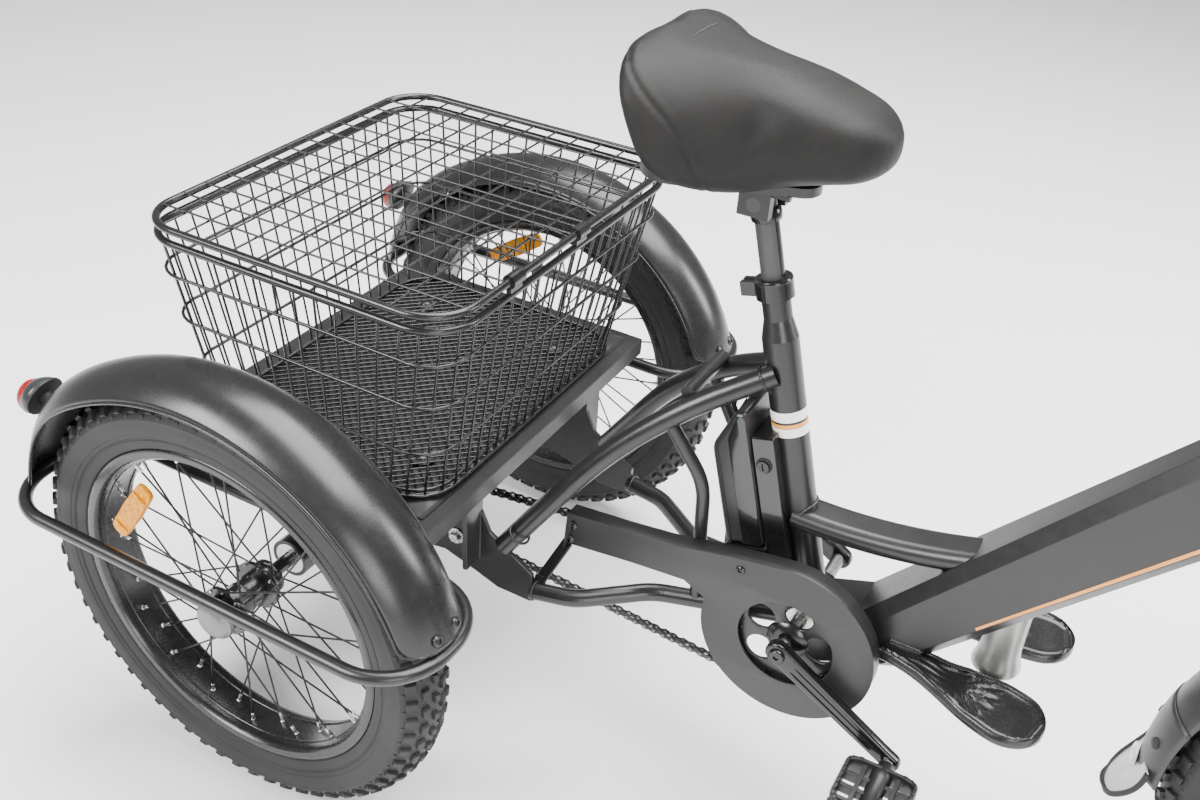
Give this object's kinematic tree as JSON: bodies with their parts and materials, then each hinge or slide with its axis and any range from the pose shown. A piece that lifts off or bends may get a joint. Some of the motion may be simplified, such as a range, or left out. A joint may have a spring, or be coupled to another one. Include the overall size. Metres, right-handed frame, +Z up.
{
  "type": "adult tricycle",
  "caption": "Electric cargo tricycle with fat tyres, step-through frame, rear deck with a lidded wire basket, fenders with guard hoops, and a front suspension fork.",
  "frame": {"origin": "on the ground, under the middle of the tricycle's box", "axes": "+X forward, +Y to the rider's left, +Z up"},
  "size_m": [1.834, 0.862, 1.0236],
  "materials": {
    "satin_black": "satin powder coat",
    "gloss_black": "smooth black enamel",
    "dark_chain": "oiled dark steel",
    "zinc": "bright zinc plate",
    "grey_metal": "satin",
    "black_plastic": "moulded, satin",
    "grip_rubber": "matt",
    "tyre": "matt rubber",
    "amber": "clear moulded",
    "red_lens": "clear moulded",
    "vinyl": "matt grained vinyl"
  },
  "bodies": {
    "frame": {"seat_tube": "satin_black", "down_tube": "satin_black", "brace_tube": "satin_black", "head_tube": "satin_black", "seat_stays": "satin_black", "chain_stays": "satin_black", "stay_struts": "satin_black", "drop_plates": "satin_black", "axle_housing": "satin_black", "bearings": "zinc", "rear_deck": "satin_black", "basket": "gloss_black", "basket_rim": "gloss_black", "rear_fenders": "satin_black", "guard_hoops": "satin_black", "tail_light_housings": "grey_metal", "tail_light_lenses": "red_lens", "chain_guard": "gloss_black", "drive_chain": "dark_chain", "battery_rail": "black_plastic", "footrests": "black_plastic", "controller_pod": "grey_metal", "seat_clamp": "gloss_black", "fasteners": "zinc"},
    "basket_lid": {"basket_lid": "gloss_black"},
    "battery": {"battery_case": "black_plastic"},
    "key_lock": {"key_lock": "zinc"},
    "rear_wheel_right": {"tyre_right": "tyre", "rim_right": "gloss_black", "spokes_right": "gloss_black", "hub_right": "gloss_black", "hub_cap_right": "grey_metal", "reflector_right": "amber"},
    "rear_wheel_left": {"tyre_left": "tyre", "rim_left": "gloss_black", "spokes_left": "gloss_black", "hub_left": "gloss_black", "hub_cap_left": "grey_metal", "reflector_left": "amber"},
    "drive_sprocket": {"drive_sprocket": "zinc"},
    "crankset": {"crank_arms": "satin_black", "chainring": "gloss_black"},
    "pedal_right": {"pedal_right": "black_plastic"},
    "pedal_left": {"pedal_left": "black_plastic"},
    "seat_post": {"seat_post": "gloss_black"},
    "saddle": {"saddle_frame": "gloss_black", "saddle_pad": "vinyl"},
    "steering": {"fork_upper": "satin_black", "handlebar": "satin_black", "headlight": "black_plastic", "grip_left": "grip_rubber"},
    "throttle_grip": {"throttle_grip": "grip_rubber"},
    "brake_lever_right": {"brake_lever_right": "gloss_black"},
    "brake_lever_left": {"brake_lever_left": "gloss_black"},
    "fork_lowers": {"fork_lowers": "gloss_black", "front_fender": "black_plastic"},
    "front_wheel": {"front_hub": "gloss_black", "front_tyre": "tyre", "front_rim": "gloss_black", "front_spokes": "gloss_black"}
  },
  "joints": [
    {"name": "steering", "type": "hinge", "parent": "frame", "child": "steering", "pos_m": [0.44069, 0, 0.74062], "axis": [-0.309, 0, 0.9511], "range_deg": [-50, 50]},
    {"name": "fork_travel", "type": "slide", "parent": "steering", "child": "fork_lowers", "axis": [-0.309, 0, 0.9511], "range_m": [0, 0.045], "stiffness_N_per_m": 12000, "springref_m": -0.03},
    {"name": "front_wheel_spin", "type": "hinge", "parent": "fork_lowers", "child": "front_wheel", "pos_m": [0.638, 0, 0.279], "axis": [0, 1, 0], "continuous": true},
    {"name": "rear_wheel_right_spin", "type": "hinge", "parent": "frame", "child": "rear_wheel_right", "pos_m": [-0.607, -0.343, 0.279], "axis": [0, 1, 0], "continuous": true},
    {"name": "rear_wheel_left_spin", "type": "hinge", "parent": "frame", "child": "rear_wheel_left", "pos_m": [-0.607, 0.343, 0.279], "axis": [0, 1, 0], "continuous": true},
    {"name": "crank_spin", "type": "hinge", "parent": "frame", "child": "crankset", "pos_m": [-0.044, 0, 0.289], "axis": [0, 1, 0], "continuous": true},
    {"name": "sprocket_spin", "type": "hinge", "parent": "frame", "child": "drive_sprocket", "pos_m": [-0.607, -0.07, 0.279], "axis": [0, 1, 0], "continuous": true},
    {"name": "pedal_right_spin", "type": "hinge", "parent": "crankset", "child": "pedal_right", "pos_m": [0.10172, -0.15, 0.20144], "axis": [0, 1, 0], "continuous": true},
    {"name": "pedal_left_spin", "type": "hinge", "parent": "crankset", "child": "pedal_left", "pos_m": [-0.18972, 0.15, 0.37656], "axis": [0, 1, 0], "continuous": true},
    {"name": "seat_height", "type": "slide", "parent": "frame", "child": "seat_post", "axis": [-0.2571, 0, 0.9664], "range_m": [-0.06, 0.07]},
    {"name": "saddle_tilt", "type": "hinge", "parent": "seat_post", "child": "saddle", "pos_m": [-0.17257, 0, 0.77219], "axis": [0, 1, 0], "range_deg": [-8, 8]},
    {"name": "lid_hinge", "type": "hinge", "parent": "frame", "child": "basket_lid", "pos_m": [-0.386, 0, 0.667], "axis": [0, 1, 0], "range_deg": [0, 95]},
    {"name": "battery_slide", "type": "slide", "parent": "frame", "child": "battery", "axis": [-0.2571, 0, 0.9664], "range_m": [0, 0.008]},
    {"name": "key_turn", "type": "hinge", "parent": "frame", "child": "key_lock", "pos_m": [-0.11578, -0.036, 0.481], "axis": [0, -1, 0], "range_deg": [0, 90]},
    {"name": "throttle_twist", "type": "hinge", "parent": "steering", "child": "throttle_grip", "pos_m": [0.29164, -0.31661, 0.99262], "axis": [0.5235, 0.8465, 0.0968], "range_deg": [0, 60], "stiffness_Nm_per_rad": 0.3, "springref_deg": -17.19},
    {"name": "brake_right_pull", "type": "hinge", "parent": "steering", "child": "brake_lever_right", "pos_m": [0.39846, -0.18903, 1.01031], "axis": [-0.309, 0, 0.9511], "range_deg": [0, 18], "stiffness_Nm_per_rad": 1, "springref_deg": -17.19},
    {"name": "brake_left_pull", "type": "hinge", "parent": "steering", "child": "brake_lever_left", "pos_m": [0.39846, 0.18903, 1.01031], "axis": [0.309, 0, -0.9511], "range_deg": [0, 18], "stiffness_Nm_per_rad": 1, "springref_deg": -17.19}
  ],
  "couplings": [
    {"joint": "sprocket_spin", "follows": "crank_spin", "ratio": 3}
  ]
}
